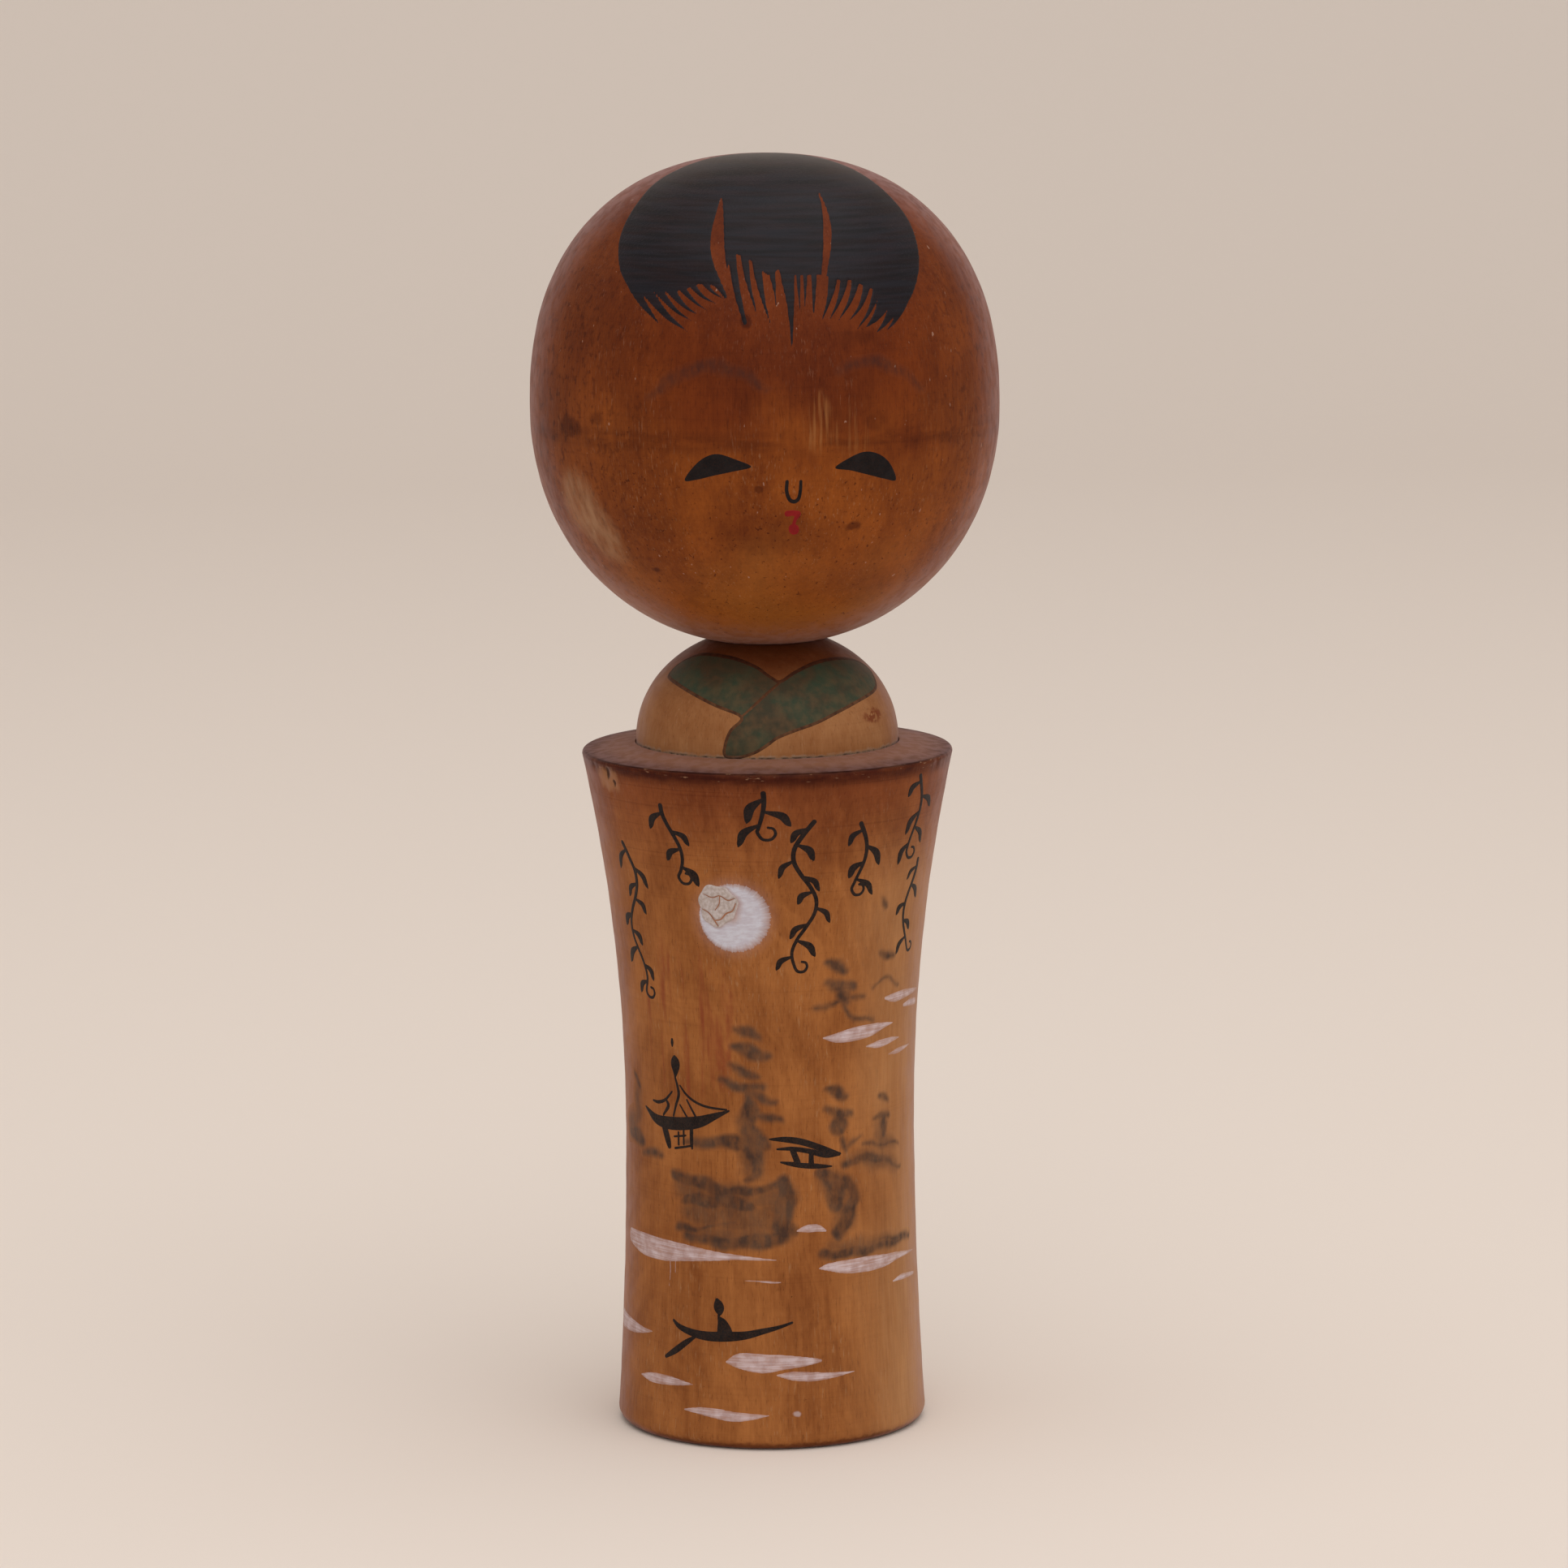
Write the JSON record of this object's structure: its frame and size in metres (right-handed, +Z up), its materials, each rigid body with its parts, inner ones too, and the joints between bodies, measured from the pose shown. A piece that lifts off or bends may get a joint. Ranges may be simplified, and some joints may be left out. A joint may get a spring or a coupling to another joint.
{
  "type": "kokeshi doll",
  "caption": "Turned wooden doll with a flared cylindrical trunk, a low shoulder dome and a large round head that turns on a captive peg.",
  "frame": {"origin": "centre of the foot, on the surface the doll stands on", "axes": "+Z up along the turning axis, -Y is the side the painted face looks to, +X to the right seen from the front"},
  "size_m": [0.0876, 0.0876, 0.24],
  "materials": {
    "trunk_wood": "satin",
    "dome_wood": "satin",
    "head_wood": "satin",
    "peg_wood": "matte"
  },
  "bodies": {
    "torso": {"trunk": "trunk_wood", "shoulder_dome": "dome_wood"},
    "head_unit": {"head": "head_wood", "neck_peg": "peg_wood"}
  },
  "joints": [
    {"name": "head_turn", "type": "hinge", "parent": "torso", "child": "head_unit", "pos_m": [0, 0, 0.1494], "axis": [0, 0, 1], "continuous": true}
  ]
}
